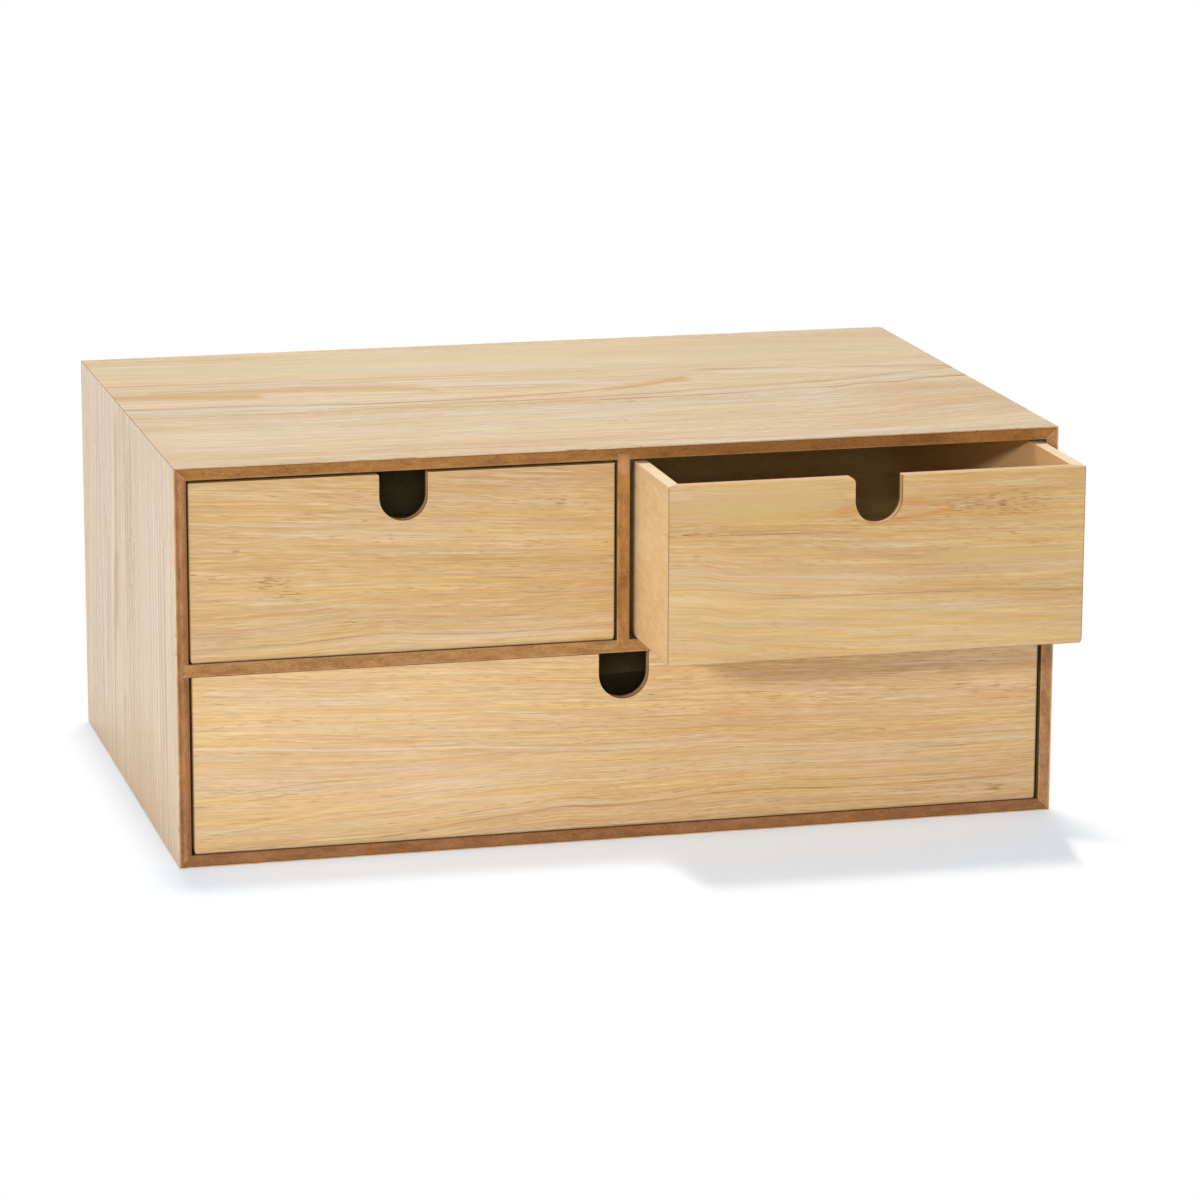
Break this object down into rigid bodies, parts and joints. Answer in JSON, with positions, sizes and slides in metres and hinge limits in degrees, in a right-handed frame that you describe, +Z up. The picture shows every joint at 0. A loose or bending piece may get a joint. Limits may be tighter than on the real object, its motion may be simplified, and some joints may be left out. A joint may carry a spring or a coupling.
{
  "type": "desktop drawer cabinet",
  "caption": "Low desktop cabinet of veneered fibreboard with two narrow drawers above a wide one, each pulled by a round-bottomed finger notch in its front.",
  "frame": {"origin": "middle of the cabinet's base, on the surface that it stands on", "axes": "+X to the right seen from the front, +Y to the back, +Z up; the drawers pull out towards -Y"},
  "size_m": [0.36, 0.2828, 0.16],
  "materials": {
    "outer_veneer": "satin",
    "front_veneer": "satin",
    "inner_veneer": "satin",
    "cabinet_board": "matt",
    "drawer_board": "matt",
    "back_board": "matt"
  },
  "bodies": {
    "cabinet": {"top_board": "cabinet_board", "bottom_board": "cabinet_board", "left_board": "cabinet_board", "right_board": "cabinet_board", "top_veneer": "outer_veneer", "bottom_veneer": "outer_veneer", "left_veneer": "outer_veneer", "right_veneer": "outer_veneer", "top_lining": "inner_veneer", "bottom_lining": "inner_veneer", "left_lining": "inner_veneer", "right_lining": "inner_veneer", "shelf_board": "cabinet_board", "shelf_upper_veneer": "inner_veneer", "shelf_lower_veneer": "inner_veneer", "divider_board": "cabinet_board", "divider_left_veneer": "inner_veneer", "divider_right_veneer": "inner_veneer", "back_panel": "back_board"},
    "left_drawer": {"left_drawer_front": "drawer_board", "left_drawer_front_veneer": "front_veneer", "left_drawer_left_side": "drawer_board", "left_drawer_right_side": "drawer_board", "left_drawer_back": "drawer_board", "left_drawer_bottom": "drawer_board"},
    "right_drawer": {"right_drawer_front": "drawer_board", "right_drawer_front_veneer": "front_veneer", "right_drawer_left_side": "drawer_board", "right_drawer_right_side": "drawer_board", "right_drawer_back": "drawer_board", "right_drawer_bottom": "drawer_board"},
    "wide_drawer": {"wide_drawer_front": "drawer_board", "wide_drawer_front_veneer": "front_veneer", "wide_drawer_left_side": "drawer_board", "wide_drawer_right_side": "drawer_board", "wide_drawer_back": "drawer_board", "wide_drawer_bottom": "drawer_board"}
  },
  "joints": [
    {"name": "left_drawer_slide", "type": "slide", "parent": "cabinet", "child": "left_drawer", "axis": [0, -1, 0], "range_m": [0, 0.16]},
    {"name": "right_drawer_slide", "type": "slide", "parent": "cabinet", "child": "right_drawer", "axis": [0, -1, 0], "range_m": [-0.049, 0.111]},
    {"name": "wide_drawer_slide", "type": "slide", "parent": "cabinet", "child": "wide_drawer", "axis": [0, -1, 0], "range_m": [0, 0.16]}
  ]
}
